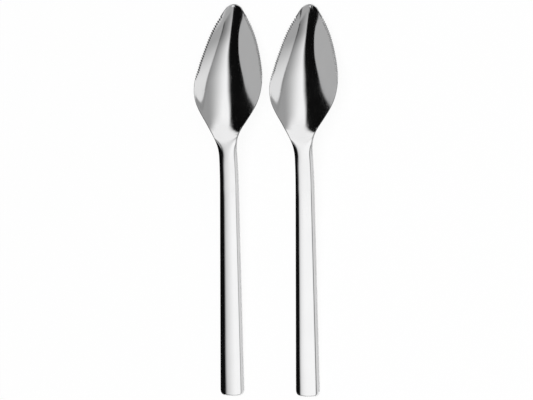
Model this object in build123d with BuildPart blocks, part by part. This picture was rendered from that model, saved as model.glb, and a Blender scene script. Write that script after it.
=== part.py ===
import os

from build123d import *

os.makedirs("parts", exist_ok=True)

# Pair of polished steel grapefruit spoons lying side by side, hollow side up.
# All sizes are in millimetres. Y runs along the spoons with the tips at +Y.

# Overall sizes
spoon_length = 170.0
spoon_spacing = 34.0  # between the two centrelines

# Outline seen from above: distance back from the tip, and full width there
tip_radius = 4.0
tip_spread = 53.0  # degrees of arc on each side of the centreline
fore_back = 8.0
fore_width = 15.1
flank_back = 21.0
flank_width = 25.5
belly_back = 34.0
bowl_width = 30.5
shoulder_back = 44.0
shoulder_width = 26.9
waist_back = 52.0
waist_width = 17.5
throat_back = 59.0
throat_width = 10.0
neck_back = 67.0
neck_width = 7.8
end_width = 10.4
end_corner = 2.0

# Metal thickness along the centreline
tip_thickness = 1.5
basin_thickness = 2.2
waist_thickness = 3.4
neck_thickness = 4.4
end_thickness = 3.4
end_round = 1.2

# Height of the top surface along the centreline
tip_height = 3.6
tip_rise = 0.3  # steepness of the bowl floor at the tip
basin_back = 14.0
belly_height = 6.6
shoulder_height = 10.1
waist_height = 13.6
throat_height = 13.6
neck_height = 11.2

# Depth of the bowl below its rim
fore_depth = 3.2
flank_depth = 4.7
belly_depth = 5.1
shoulder_depth = 4.3
waist_depth = 2.1

# Shape towards the edges
rim_thickness = 1.4
handle_edge_thickness = 1.0
handle_crown = 0.3
handle_edge_roll = 1.0

# Saw teeth along both flanks
tooth_pitch = 1.0
tooth_radius = 0.4
teeth_front_back = 6.0
teeth_rear_back = 33.0

# The raw metal is made a little too wide and too long, then cut to the outline
bowl_margin = 1.5
handle_margin = 0.25
overrun = 3.0
section_gap = 1.5

tip_y = spoon_length / 2
end_y = -spoon_length / 2
basin_height = basin_thickness  # the underside of the bowl rests on the table
end_height = end_thickness  # so does the end of the handle


def back(distance):
    return tip_y - distance


# Outline of one spoon from above, with the teeth bitten out of both flanks
with BuildSketch(Plane.XY) as outline:
    with BuildLine():
        nose = CenterArc((0, back(tip_radius)), tip_radius, 90, -tip_spread)
        flank = Spline(
            nose @ 1,
            (fore_width / 2, back(fore_back)),
            (flank_width / 2, back(flank_back)),
            (bowl_width / 2, back(belly_back)),
            (shoulder_width / 2, back(shoulder_back)),
            (waist_width / 2, back(waist_back)),
            (throat_width / 2, back(throat_back)),
            (neck_width / 2, back(neck_back)),
            tangents=(nose % 1, ((end_width - neck_width) / 2, end_y - back(neck_back))),
            tangent_scalars=(1, 1),
        )
        corner_middle = (end_width / 2 - end_corner, end_y + end_corner)
        corner = CenterArc(corner_middle, end_corner, 0, -90)
        Line(flank @ 1, corner @ 0)
        Line(corner @ 1, (0, end_y))
        mirror(about=Plane.YZ)
    make_face()
    tooth_count = round((teeth_rear_back - teeth_front_back) / tooth_pitch)
    for tooth in range(tooth_count + 1):
        tooth_y = back(teeth_front_back + tooth * tooth_pitch)
        tooth_x = flank.intersect(Plane.XZ.offset(-tooth_y))[0].X
        with Locations((tooth_x, tooth_y), (-tooth_x, tooth_y)):
            Circle(tooth_radius, mode=Mode.SUBTRACT)


# A guide gives one size along the spoon: smooth through the bowl, straight down the handle
def guide(points, end_value):
    neck_y, neck_value = points[-1]
    front_slope = (points[1][0] - points[0][0], points[1][1] - points[0][1])
    handle_slope = (end_y - neck_y, end_value - neck_value)
    reach = 1 + overrun / (neck_y - end_y)
    with BuildLine(Plane.YZ) as line:
        bowl = Spline(*points, tangents=(front_slope, handle_slope), tangent_scalars=(1, 1))
        Line(bowl @ 1, bowl @ 1 + reach * Vector(0, *handle_slope))
    return line.edges()


def read(line, y):
    hits = []
    for edge in line:
        hits += edge.intersect(Plane.XZ.offset(-y)) or []
    return hits[0].Z


def bend(depth, width):
    return depth / (width / 2) ** 2


front_y = back(-overrun)
half_width = guide(
    [
        (front_y, fore_width / 2),
        (back(fore_back), fore_width / 2 + bowl_margin),
        (back(flank_back), flank_width / 2 + bowl_margin),
        (back(belly_back), bowl_width / 2 + bowl_margin),
        (back(shoulder_back), shoulder_width / 2 + bowl_margin),
        (back(waist_back), waist_width / 2 + bowl_margin),
        (back(throat_back), throat_width / 2 + handle_margin),
        (back(neck_back), neck_width / 2 + handle_margin),
    ],
    end_width / 2 + handle_margin,
)
top_height = guide(
    [
        (front_y, tip_height + tip_rise * overrun),
        (back(0), tip_height),
        (back(basin_back), basin_height),
        (back(belly_back), belly_height),
        (back(shoulder_back), shoulder_height),
        (back(waist_back), waist_height),
        (back(throat_back), throat_height),
        (back(neck_back), neck_height),
    ],
    end_height,
)
hollow = guide(
    [
        (front_y, 2 * bend(fore_depth, fore_width)),
        (back(fore_back), bend(fore_depth, fore_width)),
        (back(flank_back), bend(flank_depth, flank_width)),
        (back(belly_back), bend(belly_depth, bowl_width)),
        (back(shoulder_back), bend(shoulder_depth, shoulder_width)),
        (back(waist_back), bend(waist_depth, waist_width)),
        (back(neck_back), bend(-handle_crown, neck_width)),
    ],
    bend(-handle_crown, end_width),
)
thickness = guide(
    [
        (front_y, tip_thickness),
        (back(basin_back), basin_thickness),
        (back(waist_back), waist_thickness),
        (back(neck_back), neck_thickness),
    ],
    end_thickness,
)
edge_thickness = guide(
    [
        (front_y, rim_thickness),
        (back(belly_back), rim_thickness),
        (back(waist_back), rim_thickness),
        (back(neck_back), handle_edge_thickness),
    ],
    handle_edge_thickness,
)
edge_roll = guide(
    [
        (front_y, 0),
        (back(belly_back), 0),
        (back(waist_back), handle_edge_roll / 10),
        (back(neck_back), handle_edge_roll),
    ],
    handle_edge_roll,
)

# Pole heights that draw a square curve and a sixth-power curve as one smooth line
square_poles = (1, 1 / 3, -1 / 15, -1 / 5, -1 / 15, 1 / 3, 1)
sixth_poles = (1, -1, 1, -1, 1, -1, 1)


def skin_line(wide, middle, square, sixth):
    poles = []
    for square_pole, sixth_pole in zip(square_poles, sixth_poles):
        x = (len(poles) / 3 - 1) * wide
        poles.append((x, middle + square * square_pole + sixth * sixth_pole))
    return poles


# Cross-section of the raw metal: hollow in the bowl, crowned and rolled off in the handle
def cross_section(y):
    wide = read(half_width, y)
    top = read(top_height, y)
    keel = top - read(thickness, y)
    roll = read(edge_roll, y)
    sag = read(hollow, y) * wide**2
    low_sag = top + sag - 2 * roll - read(edge_thickness, y) - keel
    upper = skin_line(wide, top, sag, -roll)
    lower = skin_line(wide, keel, low_sag, roll)
    with BuildSketch(Plane.XZ.offset(-y)) as section:
        with BuildLine():
            Bezier(*upper)
            Line(upper[-1], lower[-1])
            Bezier(*reversed(lower))
            Line(lower[0], upper[0])
        make_face()
    return section.sketch


# Close sections keep the skin true from just past the tip to just past the handle end
spare = 0.9 * overrun
section_count = round((spoon_length + 2 * spare) / section_gap)
section_step = (spoon_length + 2 * spare) / section_count
sections = [cross_section(back(i * section_step - spare)) for i in range(section_count + 1)]

with BuildPart() as spoon:
    loft(sections=sections)
    extrude(outline.sketch, amount=spoon_length, both=True, mode=Mode.INTERSECT)
    # Round over the end of the handle, seen from the side
    with BuildSketch(Plane.YZ):
        with BuildLine():
            upper_arc = CenterArc((end_y + end_round, end_height - end_round), end_round, 180, -80)
            lower_arc = CenterArc((end_y + end_round, end_round), end_round, 180, 80)
            Line(upper_arc @ 0, lower_arc @ 0)
            over = Line(upper_arc @ 1, upper_arc @ 1 + 2 * spoon_length * (upper_arc % 1))
            under = Line(lower_arc @ 1, lower_arc @ 1 + 2 * spoon_length * (lower_arc % 1))
            Line(over @ 1, under @ 1)
        make_face()
    extrude(amount=bowl_width, both=True, mode=Mode.INTERSECT)

# The two spoons are alike and loose from each other
for side, x in (("left", -spoon_spacing / 2), ("right", spoon_spacing / 2)):
    with BuildPart() as placed_spoon:
        with Locations((x, 0, 0)):
            add(spoon.part)
    placed_spoon.part.label = side + "_spoon"
    export_step(placed_spoon.part, "parts/" + side + "_spoon.step")
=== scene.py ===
import math

import bmesh
import bpy
import numpy as np
from mathutils import Matrix, Vector


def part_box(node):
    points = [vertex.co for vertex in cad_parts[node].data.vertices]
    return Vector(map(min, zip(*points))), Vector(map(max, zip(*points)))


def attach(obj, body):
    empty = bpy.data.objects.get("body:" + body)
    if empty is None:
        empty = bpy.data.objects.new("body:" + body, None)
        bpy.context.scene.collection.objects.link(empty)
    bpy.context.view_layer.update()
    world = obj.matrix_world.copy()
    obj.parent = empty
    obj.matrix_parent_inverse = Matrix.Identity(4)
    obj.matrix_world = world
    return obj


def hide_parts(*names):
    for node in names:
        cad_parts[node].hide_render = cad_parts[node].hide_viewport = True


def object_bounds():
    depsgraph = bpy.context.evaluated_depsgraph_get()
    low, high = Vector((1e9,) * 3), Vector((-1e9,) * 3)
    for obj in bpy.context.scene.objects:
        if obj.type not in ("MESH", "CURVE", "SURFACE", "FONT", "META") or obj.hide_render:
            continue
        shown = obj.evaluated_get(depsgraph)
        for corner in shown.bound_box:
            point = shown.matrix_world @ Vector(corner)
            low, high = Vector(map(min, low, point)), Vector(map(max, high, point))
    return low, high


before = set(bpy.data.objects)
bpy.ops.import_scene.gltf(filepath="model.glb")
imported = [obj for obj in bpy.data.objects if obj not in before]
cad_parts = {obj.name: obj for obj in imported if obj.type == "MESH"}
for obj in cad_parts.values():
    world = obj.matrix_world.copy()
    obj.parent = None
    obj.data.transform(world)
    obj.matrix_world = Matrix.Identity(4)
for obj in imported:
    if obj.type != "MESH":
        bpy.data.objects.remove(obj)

cadLow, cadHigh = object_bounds()
mm = 0.001
print("frame loaded with", ", ".join(sorted(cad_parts)))

# one spoon, sizes in mm, places counted back from the tip
spoonForm = {
    "length": 170.0,
    "tipRadius": 4.0,
    "tipSpread": 53.0,
    "ahead": -3.0,  # the guide curves start ahead of the tip
    # fore, flank, belly, shoulder, waist, throat and neck
    "places": [8.0, 21.0, 34.0, 44.0, 52.0, 59.0, 67.0],
    "widths": [15.1, 25.5, 30.5, 26.9, 17.5, 10.0, 7.8],
    "endWidth": 10.4,
    "endCorner": 2.0,
    "endRound": 0.6,
    "endBulge": 0.8,
    "bulgePlaces": [150.0, 167.0],
    "floorPlaces": [-3.0, 0.0, 14.0, 34.0, 44.0, 52.0, 57.0, 59.4, 63.0, 68.0, 74.0, 80.0],
    "floorHeights": [4.2, 3.4, 2.2, 6.6, 10.05, 13.3, 14.8, 14.5, 13.4, 12.0, 10.9, 10.21],
    "endHeight": 3.4,
    "depths": [3.2, 4.7, 5.1, 4.3, 2.1],  # rim above the bowl floor, fore to waist
    "heelPlaces": [56.5, 61.0],  # the hollow runs out quickly behind the crest
    "heelBends": [0.025, 0.002],
    "metalPlaces": [-3.0, 14.0, 52.0, 67.0],
    "metalThick": [1.5, 2.2, 3.4, 4.4],
    "endThick": 3.4,
    "rimThick": 1.4,
    "handleEdge": 1.0,
    "crown": 0.3,
    "rollPlaces": [-3.0, 34.0, 54.0, 59.0, 67.0],
    "rolls": [0.0, 0.0, 0.0, 0.3, 1.0],
    "rollPower": 6,
    "leanPlaces": [2.0, 5.0, 55.0, 61.0],  # the edge leans in below the rim of the bowl
    "leans": [0.0, 0.45, 0.45, 0.0],
    "bowlMargin": 1.5,
    "handleMargin": 0.25,
}

sawTeeth = {
    "pitch": 1.0,
    "radius": 0.4,
    "first": 6.0,
    "last": 33.0,
    "fadeFrom": 29.0,  # the last bites get smaller
    "fadeTo": 0.45,
    "landPlaces": [3.0, 6.0, 30.0, 34.0, 38.0],  # flat ground along the teeth
    "landWidths": [0.0, 0.85, 0.85, 0.15, 0.0],
    "landBlend": 0.3,
    "landSlope": 0.12,
}

rimSoft = {  # rounding of the edges in mm
    "tip": 0.7,
    "tipPlaces": [0.5, 1.5],
    "bowl": 0.18,
    "teeth": 0.12,
    "teethPlaces": [4.6, 5.6, 33.4, 34.6],
    "handle": 0.16,
    "handlePlaces": [48.0, 66.0],
}

edgeGrindAndShade = {  # how far the edge is ground instead of polished; the same mask also darkens it, painted shade as a dark outline along the rim, the teeth and the neck
    "softShare": 0.9,
    "reachPlaces": [38.0, 46.0, 56.0, 60.0, 66.0],
    "reaches": [0.0, 0.2, 0.5, 0.4, 0.0],
    "steepness": 1.5,
    "places": [0.0, 3.0, 5.0, 6.0, 33.0, 34.0, 46.0, 55.0, 60.0, 68.0],
    "shares": [0.22, 0.73, 0.73, 0.5, 0.5, 0.73, 0.85, 0.9, 0.5, 0.3],
    "biteShare": 0.5,
    "landPlaces": [5.0, 6.0, 30.0, 34.0],
    "landWide": 0.85,
    "landRise": 1.2,
    "landTop": 0.5,
    "landShare": 0.73,
}

meshGrain = {  # columns round the spoon, rows and steps in mm along it
    "hollowColumns": 30,
    "hollowPower": 0.8,
    "landColumns": 5,
    "landShare": 0.1,
    "rimColumns": 6,
    "wallColumns": 3,
    "backColumns": 18,
    "noseReach": 0.4,
    "noseRows": 12,
    "tipFrom": 0.5,
    "tipTo": 5.55,
    "tipStep": 0.1,
    "rowsPerTooth": 9,
    "bowlFrom": 33.8,
    "bowlStep": 0.35,
    "handleStep": 0.9,
    "cornerRows": 22,
    "joinWithin": 0.0004,
    "dropUnder": 0.0002,
    "mostCorners": 8,  # only the face at the handle end has more
}


def smoothCurve(places, values, firstSlope, lastSlope):
    at = np.array(places, float)
    value = np.array(values, float)
    gap = np.diff(at)
    count = len(at)
    matrix = np.eye(count)
    side = np.zeros(count)
    side[0] = firstSlope
    side[-1] = lastSlope
    for i in range(1, count - 1):
        before, after = gap[i - 1], gap[i]
        matrix[i, i - 1:i + 2] = 1 / before, 2 / before + 2 / after, 1 / after
        climb = (value[i] - value[i - 1]) / before ** 2 + (value[i + 1] - value[i]) / after ** 2
        side[i] = 3 * climb
    slope = np.linalg.solve(matrix, side)

    def read(s):
        k = np.clip(np.searchsorted(at, s) - 1, 0, count - 2)
        t = (s - at[k]) / gap[k]
        near = (1 + 2 * t) * (1 - t) ** 2 * value[k] + t * (1 - t) ** 2 * gap[k] * slope[k]
        far = t * t * (3 - 2 * t) * value[k + 1] + t * t * (t - 1) * gap[k] * slope[k + 1]
        return near + far
    return read


def spoonGuide(places, values, endValue):  # smooth through the bowl, straight down the handle
    firstSlope = (values[1] - values[0]) / (places[1] - places[0])
    lastSlope = (endValue - values[-1]) / (spoonForm["length"] - places[-1])
    bowl = smoothCurve(places, values, firstSlope, lastSlope)

    def read(s):
        s = np.asarray(s, float)
        inBowl = bowl(np.minimum(s, places[-1]))
        return np.where(s < places[-1], inBowl, values[-1] + lastSlope * (s - places[-1]))
    return read


def bendOf(depth, width):
    return depth / (width / 2) ** 2


ahead = [spoonForm["ahead"]]
neckPlace = spoonForm["places"][-1]
halves = [w / 2 for w in spoonForm["widths"]]
bowlEdge = [h + spoonForm["bowlMargin"] for h in halves[:5]]
neckEdge = [h + spoonForm["handleMargin"] for h in halves[5:]]
bowlBend = [bendOf(d, w) for d, w in zip(spoonForm["depths"], spoonForm["widths"])]
crownAtNeck = bendOf(-spoonForm["crown"], spoonForm["widths"][-1])
crownAtEnd = bendOf(-spoonForm["crown"], spoonForm["endWidth"])
wideAt = spoonGuide(
    ahead + spoonForm["places"],
    [halves[0]] + bowlEdge + neckEdge,
    spoonForm["endWidth"] / 2 + spoonForm["handleMargin"],
)
floorAt = spoonGuide(spoonForm["floorPlaces"], spoonForm["floorHeights"], spoonForm["endHeight"])
hollowAt = spoonGuide(
    ahead + spoonForm["places"][:5] + spoonForm["heelPlaces"] + [neckPlace],
    [2 * bowlBend[0]] + bowlBend + spoonForm["heelBends"] + [crownAtNeck],
    crownAtEnd,
)
metalAt = spoonGuide(spoonForm["metalPlaces"], spoonForm["metalThick"], spoonForm["endThick"])
edgeAt = spoonGuide(
    ahead + [spoonForm["places"][2], spoonForm["places"][4], neckPlace],
    [spoonForm["rimThick"]] * 3 + [spoonForm["handleEdge"]],
    spoonForm["handleEdge"],
)
rollAt = spoonGuide(spoonForm["rollPlaces"], spoonForm["rolls"], spoonForm["rolls"][-1])

noseTurn = math.radians(90 - spoonForm["tipSpread"])
noseEnd = spoonForm["tipRadius"] * (1 - math.sin(noseTurn))
cornerStart = spoonForm["length"] - spoonForm["endCorner"]
handleSlope = (spoonForm["endWidth"] / 2 - halves[-1]) / (cornerStart - neckPlace)
flankAt = smoothCurve(
    [noseEnd] + spoonForm["places"],
    [spoonForm["tipRadius"] * math.cos(noseTurn)] + halves,
    math.tan(noseTurn),
    handleSlope,
)


def hollowSide(x, s):
    return floorAt(s) + hollowAt(s) * x ** 2 - rollAt(s) * (x / wideAt(s)) ** spoonForm["rollPower"]


def backSide(x, s):
    wide = wideAt(s)
    keel = floorAt(s) - metalAt(s)
    sag = floorAt(s) + hollowAt(s) * wide ** 2 - 2 * rollAt(s) - edgeAt(s) - keel
    return keel + sag * (x / wide) ** 2 + rollAt(s) * (x / wide) ** spoonForm["rollPower"]


def halfWidth(s):
    if s < neckPlace:
        return float(flankAt(max(s, noseEnd)))
    return halves[-1] + handleSlope * (s - neckPlace)


def toothPlaces():
    count = round((sawTeeth["last"] - sawTeeth["first"]) / sawTeeth["pitch"])
    return [sawTeeth["first"] + i * sawTeeth["pitch"] for i in range(count + 1)]


def biteRadius(place):
    fade = np.interp(place, [sawTeeth["fadeFrom"], sawTeeth["last"]], [1, sawTeeth["fadeTo"]])
    return sawTeeth["radius"] * fade


def cutWidth(s):  # half width with the saw teeth bitten out
    width = halfWidth(s)
    for place in toothPlaces():
        away = abs(s - place)
        bite = biteRadius(place)
        if away < bite:
            width = min(width, halfWidth(place) - math.sqrt(bite ** 2 - away ** 2))
    return width


def edgeLean(s):
    return float(np.interp(s, spoonForm["leanPlaces"], spoonForm["leans"]))


def landWidth(s):
    return float(np.interp(s, sawTeeth["landPlaces"], sawTeeth["landWidths"]))


def landDrop(x, s, start):  # how far the ground flat lies below the hollow side
    over = np.maximum(x - start, 0)
    rise = hollowSide(np.maximum(x, start), s) - hollowSide(start, s)
    return (rise + sawTeeth["landSlope"] * over) * min(landWidth(s) / sawTeeth["landBlend"], 1)


def softAt(s):
    onHandle = np.interp(s, rimSoft["handlePlaces"], [0, 1])
    atTip = np.interp(s, rimSoft["tipPlaces"], [1, 0])
    inTeeth = np.interp(s, rimSoft["teethPlaces"], [0, 1, 1, 0])
    soft = rimSoft["bowl"]
    for name, share in (("handle", onHandle), ("tip", atTip), ("teeth", inTeeth)):
        soft = soft + (rimSoft[name] - rimSoft["bowl"]) * share
    return float(soft)


# mask for the rougher ground edge and for painted shade along the outline, in the teeth bites and
# on the flat beside the teeth
def grindAndShadeAt(s, x):
    inside = cutWidth(s) - np.abs(x)
    reach = np.interp(s, edgeGrindAndShade["reachPlaces"], edgeGrindAndShade["reaches"])
    reach = reach + softAt(s) * edgeGrindAndShade["softShare"]
    edge = np.clip(edgeGrindAndShade["steepness"] * (1 - inside / reach), 0, 1)
    bite = np.clip((halfWidth(s) - cutWidth(s)) / sawTeeth["radius"], 0, 1)
    share = np.interp(s, edgeGrindAndShade["places"], edgeGrindAndShade["shares"]) + edgeGrindAndShade["biteShare"] * bite
    land = np.clip(edgeGrindAndShade["landRise"] - inside / edgeGrindAndShade["landWide"], 0, edgeGrindAndShade["landTop"])
    land = land * edgeGrindAndShade["landShare"] * np.interp(s, edgeGrindAndShade["landPlaces"], [0, 1, 1, 0])
    return np.maximum(edge * share, land)


def edgeColumns(s, away):  # x of the points that lie this far inside the outline
    radius = spoonForm["tipRadius"]
    corner = spoonForm["endCorner"]
    if s < noseEnd:
        return np.sqrt(np.maximum((radius - away) ** 2 - (radius - s) ** 2, 0))
    if s > cornerStart:
        middle = spoonForm["endWidth"] / 2 - corner
        return middle + np.sqrt(np.maximum((corner - away) ** 2 - (s - cornerStart) ** 2, 0))
    near = 0.02
    slope = (halfWidth(s + near) - halfWidth(s - near)) / (2 * near)
    return cutWidth(s) - away * math.sqrt(1 + slope ** 2)


def edgeAway(s, x):  # distance inside the outline, near the tip and the handle end
    if s < noseEnd:
        return spoonForm["tipRadius"] - np.hypot(x, spoonForm["tipRadius"] - s)
    flat = spoonForm["length"] - s
    middle = spoonForm["endWidth"] / 2 - spoonForm["endCorner"]
    atCorner = spoonForm["endCorner"] - np.hypot(np.maximum(x - middle, 0), s - cornerStart)
    return np.where(x > middle, np.minimum(atCorner, flat), flat)


def rimDrop(away, soft):
    return soft - np.sqrt(np.maximum(soft ** 2 - np.clip(soft - away, 0, soft) ** 2, 0))


def endPinch(s):  # the handle end is rounded in side view
    reach = spoonForm["endRound"]
    over = max(s - (spoonForm["length"] - reach), 0)
    half = spoonForm["endHeight"] / 2
    return (half - reach + math.sqrt(max(reach ** 2 - over ** 2, 0))) / half


def spoonRows():
    radius = spoonForm["tipRadius"]
    reachTurn = math.acos(1 - meshGrain["noseReach"] / radius)
    rows = list(radius * (1 - np.cos(np.linspace(0, reachTurn, meshGrain["noseRows"]))))
    rows += list(np.arange(meshGrain["tipFrom"], meshGrain["tipTo"], meshGrain["tipStep"]))
    turn = np.linspace(0, math.pi, meshGrain["rowsPerTooth"])
    for place in toothPlaces():
        rows += list(place - sawTeeth["radius"] * np.cos(turn))
        rows.append(place + sawTeeth["pitch"] / 2)
    rows += list(np.arange(meshGrain["bowlFrom"], neckPlace, meshGrain["bowlStep"]))
    rows += list(np.arange(neckPlace, cornerStart, meshGrain["handleStep"]))
    cornerTurn = np.linspace(0, math.pi / 2, meshGrain["cornerRows"])
    rows += list(cornerStart + spoonForm["endCorner"] * np.sin(cornerTurn))
    return np.unique(np.round(rows, 5))


def halfLoop(s):  # from the middle of the hollow side round the rim to the middle of the back
    soft = softAt(s)
    turn = np.linspace(0, math.pi / 2, meshGrain["rimColumns"] + 1)
    away = soft * (1 - np.sin(turn))
    rim = edgeColumns(s, away)
    landStart = rim[0] - (landWidth(s) or meshGrain["landShare"] * rim[0])
    spread = np.sin(np.linspace(0, math.pi / 2, meshGrain["hollowColumns"]))[:-1]
    inner = landStart * spread ** meshGrain["hollowPower"]
    land = np.linspace(landStart, rim[0], meshGrain["landColumns"])[:-1]
    inner = np.concatenate([inner, land])
    rimBack = edgeColumns(s, away + edgeLean(s))
    under = rimBack[0] * np.linspace(0, 1, meshGrain["backColumns"])[:-1]
    x = np.concatenate([inner, rim])
    xBack = np.concatenate([under, rimBack])
    if noseEnd <= s <= cornerStart:
        rounding = soft * (1 - np.cos(turn))
        drop = np.concatenate([np.zeros(len(inner)), rounding])
        dropBack = np.concatenate([np.zeros(len(under)), rounding])
    else:
        drop = rimDrop(edgeAway(s, x), soft)
        dropBack = rimDrop(edgeAway(s, xBack), soft)
    z = hollowSide(x, s) - drop - landDrop(x, s, landStart)
    zBack = backSide(xBack, s) + dropBack
    wallX = np.linspace(x[-1], xBack[-1], meshGrain["wallColumns"] + 1)[1:-1]
    wallZ = np.linspace(z[-1], zBack[-1], meshGrain["wallColumns"] + 1)[1:-1]
    xs = np.concatenate([x, wallX, xBack[::-1]])
    zs = np.concatenate([z, wallZ, zBack[::-1]])
    if s > cornerStart:
        middle = spoonForm["endHeight"] / 2
        zs = middle + (zs - middle) * endPinch(s)
    return xs, zs


def spoonMesh(name, low, high):
    centre = (low.x + high.x) / 2 / mm
    rows = [float(s) for s in spoonRows()]
    points = []
    grindAndShadeRows = []
    for s in rows:
        xs, zs = halfLoop(s)
        loopX = np.concatenate([xs, -xs[-2:0:-1]])
        loopZ = np.concatenate([zs, zs[-2:0:-1]])
        bulge = spoonForm["endBulge"] * np.interp(s, spoonForm["bulgePlaces"], [0, 1]) ** 2
        loopY = spoonForm["length"] / 2 - s + bulge * (2 * loopX / spoonForm["endWidth"]) ** 2
        points.append(np.stack([loopX, loopY, loopZ], 1))
        grindAndShadeRows.append(grindAndShadeAt(s, loopX))
    around = len(points[0])
    points = np.concatenate(points)
    points[:, 0] += centre
    points = np.clip(points, np.array(low) / mm, np.array(high) / mm)
    faces = []
    for row in range(len(rows) - 1):
        for column in range(around):
            a = row * around + column
            b = row * around + (column + 1) % around
            faces.append((a, a + around, b + around, b))
    endRow = (len(rows) - 1) * around
    faces.append(tuple(endRow + column for column in range(around)))
    mesh = bpy.data.meshes.new(name)
    mesh.from_pydata((points * mm).tolist(), [], faces)
    # the edge mask: rougher ground steel, and painted shade darkening the edge
    groundAndShade = mesh.attributes.new("edgeGroundAndShade", "FLOAT", "POINT")
    groundAndShade.data.foreach_set("value", np.concatenate(grindAndShadeRows).astype(np.float32))
    return mesh


def tidyMesh(mesh):  # joins the doubled points at the tip and shades smoothly
    work = bmesh.new()
    work.from_mesh(mesh)
    bmesh.ops.remove_doubles(work, verts=work.verts, dist=meshGrain["joinWithin"] * mm)
    bmesh.ops.dissolve_degenerate(work, edges=work.edges, dist=meshGrain["dropUnder"] * mm)
    bmesh.ops.recalc_face_normals(work, faces=work.faces)
    for face in work.faces:
        face.smooth = True
        if len(face.verts) > meshGrain["mostCorners"]:  # the handle end keeps a crisp edge
            for edge in face.edges:
                edge.smooth = False
    work.to_mesh(mesh)
    work.free()


def buildSpoon(name, node):
    low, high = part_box(node)
    mesh = spoonMesh(name, low, high)
    tidyMesh(mesh)
    piece = bpy.data.objects.new(name, mesh)
    bpy.context.scene.collection.objects.link(piece)
    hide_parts(node)
    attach(piece, node)
    return piece


leftSpoon = buildSpoon("left_spoon_steel", "left_spoon")
rightSpoon = buildSpoon("right_spoon_steel", "right_spoon")
print("spoons shaped,", len(leftSpoon.data.vertices), "points each")

# mirror polished stainless steel
# groups of four, here and below: from, to, value before, value after
polishedSteel = {
    "tone": 0.84,
    "toneDip": 0.03,
    "toneSpan": (0.25, 0.75),
    "tint": (1.0, 1.0, 1.004),
    "rough": (0.3, 0.7, 0.045, 0.095),
    "scratchRough": 0.05,
    "groundRough": 0.26,
    # painted shade: the dark tone the edge mask gives the steel
    "paintedEdgeShadeTone": 0.10,
    "scratchHeight": 0.0000012,
    "scratchStrength": 0.35,
    "polishShare": 0.25,
    "groundHeight": 0.000004,
    "groundStrength": 0.5,
    # marks: how many to the metre along x, y and z, turn in degrees, detail
    "polishMarks": ((2600.0, 70.0, 900.0), 0, 3.0),
    "clouds": ((120.0, 60.0, 120.0), 20, 4.0),
    "scratches": ((3200.0, 45.0, 400.0), 24, 1.0),
    "scratchCut": (0.70, 0.76),
    "crossScratches": ((3600.0, 60.0, 400.0), -33, 1.0),
    "crossCut": (0.71, 0.77),
    "grindMarks": ((500.0, 6000.0, 500.0), 12, 2.0),
}


def addNode(tree, kind, **settings):
    node = tree.nodes.new(kind)
    for key, value in settings.items():
        setattr(node, key, value)
    return node


def feed(tree, socket, value):
    if isinstance(value, (int, float, tuple)):
        socket.default_value = value
    else:
        tree.links.new(value, socket)


def calc(tree, operation, first, second=0.0):
    node = addNode(tree, "ShaderNodeMath", operation=operation)
    feed(tree, node.inputs[0], first)
    feed(tree, node.inputs[1], second)
    return node.outputs[0]


def plus(tree, first, second):
    return calc(tree, "ADD", first, second)


def minus(tree, first, second):
    return calc(tree, "SUBTRACT", first, second)


def times(tree, first, second):
    return calc(tree, "MULTIPLY", first, second)


def larger(tree, first, second):
    return calc(tree, "MAXIMUM", first, second)


def ease(tree, value, start, end, low=0.0, high=1.0):
    node = addNode(tree, "ShaderNodeMapRange", interpolation_type="SMOOTHSTEP")
    names = ("Value", "From Min", "From Max", "To Min", "To Max")
    for name, part in zip(names, (value, start, end, low, high)):
        feed(tree, node.inputs[name], part)
    return node.outputs[0]


def blendTo(tree, under, over, mask):
    return plus(tree, under, times(tree, minus(tree, over, under), mask))


def stretchedNoise(tree, place, marks):
    scale, turn, detail = marks
    spread = addNode(tree, "ShaderNodeMapping")
    spread.inputs["Scale"].default_value = scale
    spread.inputs["Rotation"].default_value = (0.0, 0.0, math.radians(turn))
    noise = addNode(tree, "ShaderNodeTexNoise")
    noise.inputs["Scale"].default_value = 1.0
    noise.inputs["Detail"].default_value = detail
    tree.links.new(place, spread.inputs["Vector"])
    tree.links.new(spread.outputs["Vector"], noise.inputs["Vector"])
    return noise.outputs["Fac"]


def addBump(tree, height, strength, distance):
    bump = addNode(tree, "ShaderNodeBump")
    bump.inputs["Strength"].default_value = strength
    bump.inputs["Distance"].default_value = distance
    tree.links.new(height, bump.inputs["Height"])
    return bump


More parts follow.
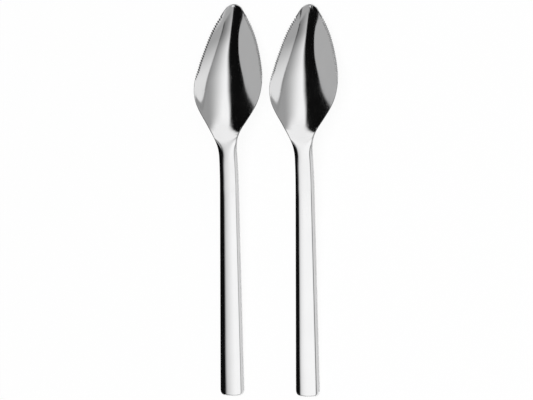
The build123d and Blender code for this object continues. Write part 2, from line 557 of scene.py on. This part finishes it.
def makeSteel():
    steel = bpy.data.materials.new("mirrorPolishedSteel")
    steel.use_nodes = True
    tree = steel.node_tree
    skin = tree.nodes["Principled BSDF"]
    skin.inputs["Metallic"].default_value = 1.0
    place = addNode(tree, "ShaderNodeTexCoord").outputs["Object"]
    polish = stretchedNoise(tree, place, polishedSteel["polishMarks"])
    cloud = stretchedNoise(tree, place, polishedSteel["clouds"])
    scratch = stretchedNoise(tree, place, polishedSteel["scratches"])
    cross = stretchedNoise(tree, place, polishedSteel["crossScratches"])
    grind = stretchedNoise(tree, place, polishedSteel["grindMarks"])
    lines = larger(tree, ease(tree, scratch, *polishedSteel["scratchCut"]),
                   ease(tree, cross, *polishedSteel["crossCut"]))
    # edge mask for ground steel and for painted edge shade
    groundAndShade = addNode(tree, "ShaderNodeAttribute", attribute_name="edgeGroundAndShade").outputs["Fac"]

    worn = times(tree, plus(tree, polish, cloud), 0.5)
    rough = ease(tree, worn, *polishedSteel["rough"])
    rough = plus(tree, rough, times(tree, lines, polishedSteel["scratchRough"]))
    rough = plus(tree, rough, times(tree, groundAndShade, polishedSteel["groundRough"]))
    tree.links.new(rough, skin.inputs["Roughness"])

    lowTone = polishedSteel["tone"] - polishedSteel["toneDip"]
    tone = ease(tree, cloud, *polishedSteel["toneSpan"], lowTone, polishedSteel["tone"])
    # painted shade: the edges are darkened towards that dark tone
    tone = blendTo(tree, tone, polishedSteel["paintedEdgeShadeTone"], groundAndShade)
    tint = addNode(tree, "ShaderNodeCombineColor")
    for channel, share in zip(("Red", "Green", "Blue"), polishedSteel["tint"]):
        tree.links.new(times(tree, tone, share), tint.inputs[channel])
    tree.links.new(tint.outputs["Color"], skin.inputs["Base Color"])

    height = minus(tree, times(tree, polish, polishedSteel["polishShare"]), lines)
    scratchBump = addBump(tree, height, polishedSteel["scratchStrength"],
                          polishedSteel["scratchHeight"])
    groundBump = addBump(tree, times(tree, grind, groundAndShade), polishedSteel["groundStrength"],
                         polishedSteel["groundHeight"])
    tree.links.new(scratchBump.outputs["Normal"], groundBump.inputs["Normal"])
    tree.links.new(groundBump.outputs["Normal"], skin.inputs["Normal"])
    return steel


steel = makeSteel()
for piece in (leftSpoon, rightSpoon):
    piece.data.materials.append(steel)
print("steel polished")

# a dark room with a soft sky overhead, a white card on the right and a grey card on the left
# degrees: across runs from left to right overhead, along from the handles to the tips
studio = {
    "darkRoom": 0.004,
    "turn": 1.8,
    "overhead": 1.08,
    "fall": (-8.0, 36.0),
    "fallShift": (34.0, 40.0, 0.0, 3.0),
    "sideTone": (30.0, 42.0, 0.31, 0.37),
    "sideLift": (-16.0, 0.0, 0.23, 0.0),
    "frontDim": (0.0, 24.0, 0.57, 1.0),
    "backDim": (-16.0, 0.0, 0.74, 1.0),
    "highDim": (50.0, 60.0, 1.0, 0.35),
    "edgeBendFrom": 12.0,  # the left edge of the sky bends away above and below
    "edgeBend": -0.0009,
    "edgeDipBelow": 3.0,
    "edgeDip": -0.025,
    "edgeSoft": 2.0,
    "edgeSofterFrom": 10.0,
    "edgeSofter": 0.16,
}

greyCard = {
    "tone": 0.47,
    "middle": (-85.0, 12.0),
    "reach": (53.0, 21.0),
    "square": 2.4,
    "blur": 0.04,
    "tilt": 0.15,
    "tiltFrom": -61.0,
}

whiteCard = {
    "tone": (0.0, 32.0, 0.42, 0.87),
    "middle": (85.0, 13.0),
    "reach": (53.0, 36.5),
    "square": 3.2,
    "blur": 0.05,
    "endMiddle": 46.0,  # its upper end is rounded
    "endWide": 10.0,
    "endBend": 0.045,
    "endCut": (41.0, 41.8, 1.0, 0.0),
    "border": 2.5,
    "borderCut": (43.6, 44.8, 1.0, 0.0),
    "borderShare": (-6.0, 12.0, 0.92, 0.18),
}


def cardMask(tree, across, along, card, grow=0.0):
    total = 0.0
    for angle, middle, reach in zip((across, along), card["middle"], card["reach"]):
        away = calc(tree, "DIVIDE", minus(tree, angle, middle), reach + grow)
        away = calc(tree, "POWER", calc(tree, "ABSOLUTE", away), card["square"])
        total = plus(tree, total, away)
    return ease(tree, total, 1 - card["blur"], 1 + card["blur"], 1.0, 0.0)


def overheadSky(tree, across, along):
    above = larger(tree, minus(tree, along, studio["edgeBendFrom"]), 0.0)
    below = larger(tree, minus(tree, studio["edgeDipBelow"], along), 0.0)
    bend = times(tree, calc(tree, "POWER", above, 3.0), studio["edgeBend"])
    dip = times(tree, calc(tree, "POWER", below, 2.0), studio["edgeDip"])
    edge = plus(tree, bend, dip)
    further = larger(tree, minus(tree, along, studio["edgeSofterFrom"]), 0.0)
    soft = plus(tree, studio["edgeSoft"], times(tree, further, studio["edgeSofter"]))
    lit = ease(tree, across, minus(tree, edge, soft), plus(tree, edge, soft))
    sideTone = plus(tree, ease(tree, along, *studio["sideTone"]),
                    ease(tree, along, *studio["sideLift"]))
    shift = ease(tree, along, *studio["fallShift"])
    fallFrom, fallTo = (minus(tree, angle, shift) for angle in studio["fall"])
    sky = ease(tree, across, fallFrom, fallTo, studio["overhead"], sideTone)
    for dim in ("frontDim", "backDim", "highDim"):
        sky = times(tree, sky, ease(tree, along, *studio[dim]))
    return blendTo(tree, studio["darkRoom"], sky, lit)


def makeStudio():
    world = bpy.data.worlds.new("studioRoom")
    bpy.context.scene.world = world
    world.use_nodes = True
    tree = world.node_tree
    tree.nodes.clear()
    way = addNode(tree, "ShaderNodeSeparateXYZ")
    tree.links.new(addNode(tree, "ShaderNodeTexCoord").outputs["Generated"], way.inputs[0])
    inDegrees = 180 / math.pi
    across = times(tree, calc(tree, "ARCTAN2", way.outputs["X"], way.outputs["Z"]), inDegrees)
    along = times(tree, calc(tree, "ARCSINE", way.outputs["Y"]), inDegrees)
    along = plus(tree, along, studio["turn"])
    sky = overheadSky(tree, across, along)

    tilt = times(tree, minus(tree, across, greyCard["tiltFrom"]), greyCard["tilt"])
    grey = cardMask(tree, across, minus(tree, along, tilt), greyCard)
    sky = blendTo(tree, sky, greyCard["tone"], grey)

    aside = minus(tree, across, whiteCard["endMiddle"])
    aside = calc(tree, "ABSOLUTE", calc(tree, "MINIMUM", aside, whiteCard["endWide"]))
    rounded = times(tree, calc(tree, "POWER", aside, 2.0), whiteCard["endBend"])
    toEnd = plus(tree, along, rounded)
    border = cardMask(tree, across, along, whiteCard, whiteCard["border"])
    border = times(tree, border, ease(tree, toEnd, *whiteCard["borderCut"]))
    border = times(tree, border, ease(tree, along, *whiteCard["borderShare"]))
    sky = blendTo(tree, sky, studio["darkRoom"], border)
    white = cardMask(tree, across, along, whiteCard)
    white = times(tree, white, ease(tree, toEnd, *whiteCard["endCut"]))
    sky = blendTo(tree, sky, ease(tree, along, *whiteCard["tone"]), white)

    eye = addNode(tree, "ShaderNodeLightPath").outputs["Is Camera Ray"]
    light = addNode(tree, "ShaderNodeBackground")
    tree.links.new(blendTo(tree, sky, 1.0, eye), light.inputs["Color"])
    tree.links.new(light.outputs[0], addNode(tree, "ShaderNodeOutputWorld").inputs["Surface"])


makeStudio()


def hangCard(name, middle, corners, paint):  # a card that only the polished steel sees
    mesh = bpy.data.meshes.new(name)
    face = tuple(range(len(corners)))
    mesh.from_pydata([(middle + x, y, z) for x, y, z in corners], [], [face])
    card = bpy.data.objects.new(name, mesh)
    bpy.context.scene.collection.objects.link(card)
    card.visible_camera = False
    card.visible_shadow = False
    card.visible_diffuse = False
    paper = bpy.data.materials.new(name + "_paper")
    paper.use_nodes = True
    tree = paper.node_tree
    tree.nodes.clear()
    way = addNode(tree, "ShaderNodeSeparateXYZ")
    tree.links.new(addNode(tree, "ShaderNodeTexCoord").outputs["Object"], way.inputs[0])
    shown, strength = paint(tree, minus(tree, way.outputs["X"], middle), way.outputs["Y"])
    lamp = addNode(tree, "ShaderNodeEmission")
    feed(tree, lamp.inputs["Strength"], strength)
    surface = lamp.outputs[0]
    if shown is not None:  # clear where it isn't shown, and from behind
        backfacing = addNode(tree, "ShaderNodeNewGeometry").outputs["Backfacing"]
        both = addNode(tree, "ShaderNodeMixShader")
        tree.links.new(times(tree, shown, minus(tree, 1.0, backfacing)), both.inputs[0])
        tree.links.new(addNode(tree, "ShaderNodeBsdfTransparent").outputs[0], both.inputs[1])
        tree.links.new(surface, both.inputs[2])
        surface = both.outputs[0]
    tree.links.new(surface, addNode(tree, "ShaderNodeOutputMaterial").inputs["Surface"])
    mesh.materials.append(paper)


def flatCorners(card):  # facing down
    height = card["height"]
    return [
        (card["left"], card["back"], height),
        (card["left"], card["front"], height),
        (card["right"], card.get("frontRight", card["front"]), height),
        (card["right"], card["back"], height),
    ]


# soft light panel over the handles, low enough that the bowls look past it
handlePanel = {
    "left": -0.165,
    "leftSoft": (-0.165, -0.115),
    "leftDim": (-0.16, -0.05, 0.5, 1.0),
    "right": 0.13,
    "rightDim": (0.06, 0.13, 1.0, 0.85),
    "front": -0.026,
    "back": -0.45,
    "height": 0.26,
    "strength": 1.1,
}


def paintPanel(tree, x, y):
    glow = ease(tree, x, *handlePanel["leftSoft"])
    glow = times(tree, glow, ease(tree, x, *handlePanel["leftDim"]))
    glow = times(tree, glow, ease(tree, x, *handlePanel["rightDim"]))
    return None, times(tree, glow, handlePanel["strength"])


# a white card low over each neck, sideways sizes from the spoon's middle
neckCard = {
    "left": -0.030,
    "leftSoft": (-0.030, -0.020),
    "right": 0.032,
    "rightDim": (-0.012, 0.004, 1.0, 0.8),
    "front": 0.0615,
    "frontSoft": (0.032, 0.047, 1.0, 0.0),
    "back": -0.006,
    "backSoft": (-0.006, 0.010),
    "height": 0.050,
    "strength": 1.0,
    "tongueSide": (-0.0185, -0.0125),  # a tongue reaches forward over the crest
    "tongueStart": (-0.007, 0.001, 0.055, 0.034),
    "wingSide": (0.0, 0.006),  # a wing on the right lights the left of the crest
    "wingFront": (0.044, 0.060, 1.0, 0.0),
}


def paintNeck(tree, x, y):
    white = ease(tree, x, *neckCard["leftSoft"])
    white = times(tree, white, ease(tree, x, *neckCard["rightDim"]))
    white = times(tree, white, ease(tree, y, *neckCard["frontSoft"]))
    tongueStart = ease(tree, x, *neckCard["tongueStart"])
    tongue = ease(tree, y, tongueStart, neckCard["front"], 1.0, 0.0)
    tongue = times(tree, ease(tree, x, *neckCard["tongueSide"]), tongue)
    wing = times(tree, ease(tree, x, *neckCard["wingSide"]), ease(tree, y, *neckCard["wingFront"]))
    white = larger(tree, white, larger(tree, tongue, wing))
    return times(tree, white, ease(tree, y, *neckCard["backSoft"])), neckCard["strength"]


# a lower white card that lights the crest between the bowl and the neck
crestCard = {
    "left": -0.019,
    "leftSoft": (-0.019, -0.008),
    "right": 0.004,
    "rightSoft": (-0.002, 0.004, 1.0, 0.0),
    "front": 0.0595,
    "frontSoft": (0.052, 0.0595, 1.0, 0.0),
    "back": 0.028,
    "height": 0.034,
    "strength": 1.0,
}


def paintCrest(tree, x, y):
    white = ease(tree, x, *crestCard["leftSoft"])
    white = times(tree, white, ease(tree, x, *crestCard["rightSoft"]))
    return times(tree, white, ease(tree, y, *crestCard["frontSoft"])), crestCard["strength"]


# a black card low beside each neck, mirrored in the right of the crest
neckShade = {
    "left": -0.024,
    "right": -0.0088,
    "rightSoft": (-0.0128, -0.0088, 1.0, 0.0),
    "front": 0.054,
    "frontRight": 0.050,
    "back": 0.031,
    "backSoft": (0.031, 0.0325),
    "height": 0.030,
}


def paintShade(tree, x, y):
    black = ease(tree, x, *neckShade["rightSoft"])
    return times(tree, black, ease(tree, y, *neckShade["backSoft"])), studio["darkRoom"]


# a grey card over each bowl that keeps the panel out of the tip
tipCard = {
    "left": 0.004,
    "right": 0.075,
    "front": 0.054,
    "frontSoft": (0.047, 0.054, 1.0, 0.0),
    "back": 0.008,
    "height": 0.100,
    "strength": 0.42,
}


def paintTip(tree, x, y):
    return ease(tree, y, *tipCard["frontSoft"]), tipCard["strength"]


# low cards beside each handle, black on the left and white on the right
sideCard = {
    "away": 0.0095,
    "front": 0.029,
    "back": -0.090,
    "frontHigh": 0.0202,
    "backHigh": 0.0092,
    "white": 0.75,
}


def sideCorners(away):
    return [
        (away, sideCard["back"], 0.0),
        (away, sideCard["front"], 0.0),
        (away, sideCard["front"], sideCard["frontHigh"]),
        (away, sideCard["back"], sideCard["backHigh"]),
    ]


def paintBlack(tree, x, y):
    return 1.0, studio["darkRoom"]


def paintWhite(tree, x, y):
    return 1.0, sideCard["white"]


hangCard("handle_panel", 0.0, flatCorners(handlePanel), paintPanel)
for side in ("left", "right"):
    boxLow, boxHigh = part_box(side + "_spoon")
    middle = (boxLow.x + boxHigh.x) / 2
    hangCard(side + "_handle_black", middle, sideCorners(-sideCard["away"]), paintBlack)
    hangCard(side + "_handle_white", middle, sideCorners(sideCard["away"])[::-1], paintWhite)
    hangCard(side + "_neck_shade", middle, flatCorners(neckShade), paintShade)
    hangCard(side + "_tip_card", middle, flatCorners(tipCard), paintTip)
    hangCard(side + "_crest_card", middle, flatCorners(crestCard), paintCrest)
    hangCard(side + "_neck_card", middle, flatCorners(neckCard), paintNeck)

paleFloor = {
    "size": 6.0,
    "below": 0.00005,
    "tone": 0.92,
    "whiteShare": 0.91,
    "mirrorShare": 0.25,
}


def makeFloor():
    half = paleFloor["size"] / 2
    corners = [(-half, -half, 0), (half, -half, 0), (half, half, 0), (-half, half, 0)]
    mesh = bpy.data.meshes.new("pale_floor")
    mesh.from_pydata(corners, [], [(0, 1, 2, 3)])
    floor = bpy.data.objects.new("pale_floor", mesh)
    floor.location.z = cadLow.z - paleFloor["below"]
    bpy.context.scene.collection.objects.link(floor)
    paint = bpy.data.materials.new("paleFloorPaint")
    paint.use_nodes = True
    tree = paint.node_tree
    tree.nodes.clear()
    rays = addNode(tree, "ShaderNodeLightPath").outputs
    direct = times(tree, rays["Is Camera Ray"], paleFloor["whiteShare"])
    mirrored = larger(tree, rays["Is Glossy Ray"], rays["Is Transmission Ray"])
    seen = larger(tree, direct, times(tree, mirrored, paleFloor["mirrorShare"]))
    matt = addNode(tree, "ShaderNodeBsdfDiffuse")
    matt.inputs["Color"].default_value = (*[paleFloor["tone"]] * 3, 1.0)
    white = addNode(tree, "ShaderNodeEmission")
    both = addNode(tree, "ShaderNodeMixShader")
    tree.links.new(seen, both.inputs[0])
    tree.links.new(matt.outputs[0], both.inputs[1])
    tree.links.new(white.outputs[0], both.inputs[2])
    tree.links.new(both.outputs[0], addNode(tree, "ShaderNodeOutputMaterial").inputs["Surface"])
    mesh.materials.append(paint)


makeFloor()

softLamp = {
    "place": (0.15, -0.1, 1.3),
    "size": 1.2,
    "watts": 14.0,
}


def makeLamp():
    data = bpy.data.lights.new("soft_lamp", "AREA")
    data.shape = "DISK"
    data.size = softLamp["size"]
    data.energy = softLamp["watts"]
    lamp = bpy.data.objects.new("soft_lamp", data)
    lamp.location = softLamp["place"]
    lamp.rotation_euler = (-Vector(softLamp["place"])).to_track_quat("-Z", "Y").to_euler()
    lamp.visible_glossy = False
    lamp.visible_camera = False
    bpy.context.scene.collection.objects.link(lamp)


makeLamp()
print("studio lit")

shot = {
    "target": (-0.00268, 0.0, 0.0),
    "tilt": 16.0,
    "lean": 0.0065,
    "distance": 4.0,
    "frameWidth": 0.23103,
    "sensor": 36.0,
    "near": 0.05,
    "far": 20.0,
}


def makeCamera():
    tilt = math.radians(shot["tilt"])
    toEye = Vector((math.sin(tilt), 0, math.cos(tilt)))
    across = Vector((math.cos(tilt), 0, -math.sin(tilt)))
    up = Vector((0, 1, 0))
    right = across * math.cos(shot["lean"]) + up * math.sin(shot["lean"])
    top = up * math.cos(shot["lean"]) - across * math.sin(shot["lean"])
    data = bpy.data.cameras.new("long_lens")
    data.sensor_width = shot["sensor"]
    data.lens = shot["sensor"] * shot["distance"] / shot["frameWidth"]
    data.clip_start = shot["near"]
    data.clip_end = shot["far"]
    camera = bpy.data.objects.new("long_lens", data)
    place = Vector(shot["target"]) + toEye * shot["distance"]
    turn = Matrix((right, top, toEye)).transposed().to_4x4()
    camera.matrix_world = Matrix.Translation(place) @ turn
    bpy.context.scene.collection.objects.link(camera)
    bpy.context.scene.camera = camera


makeCamera()
bpy.context.scene.view_settings.view_transform = "Standard"
print("camera set")
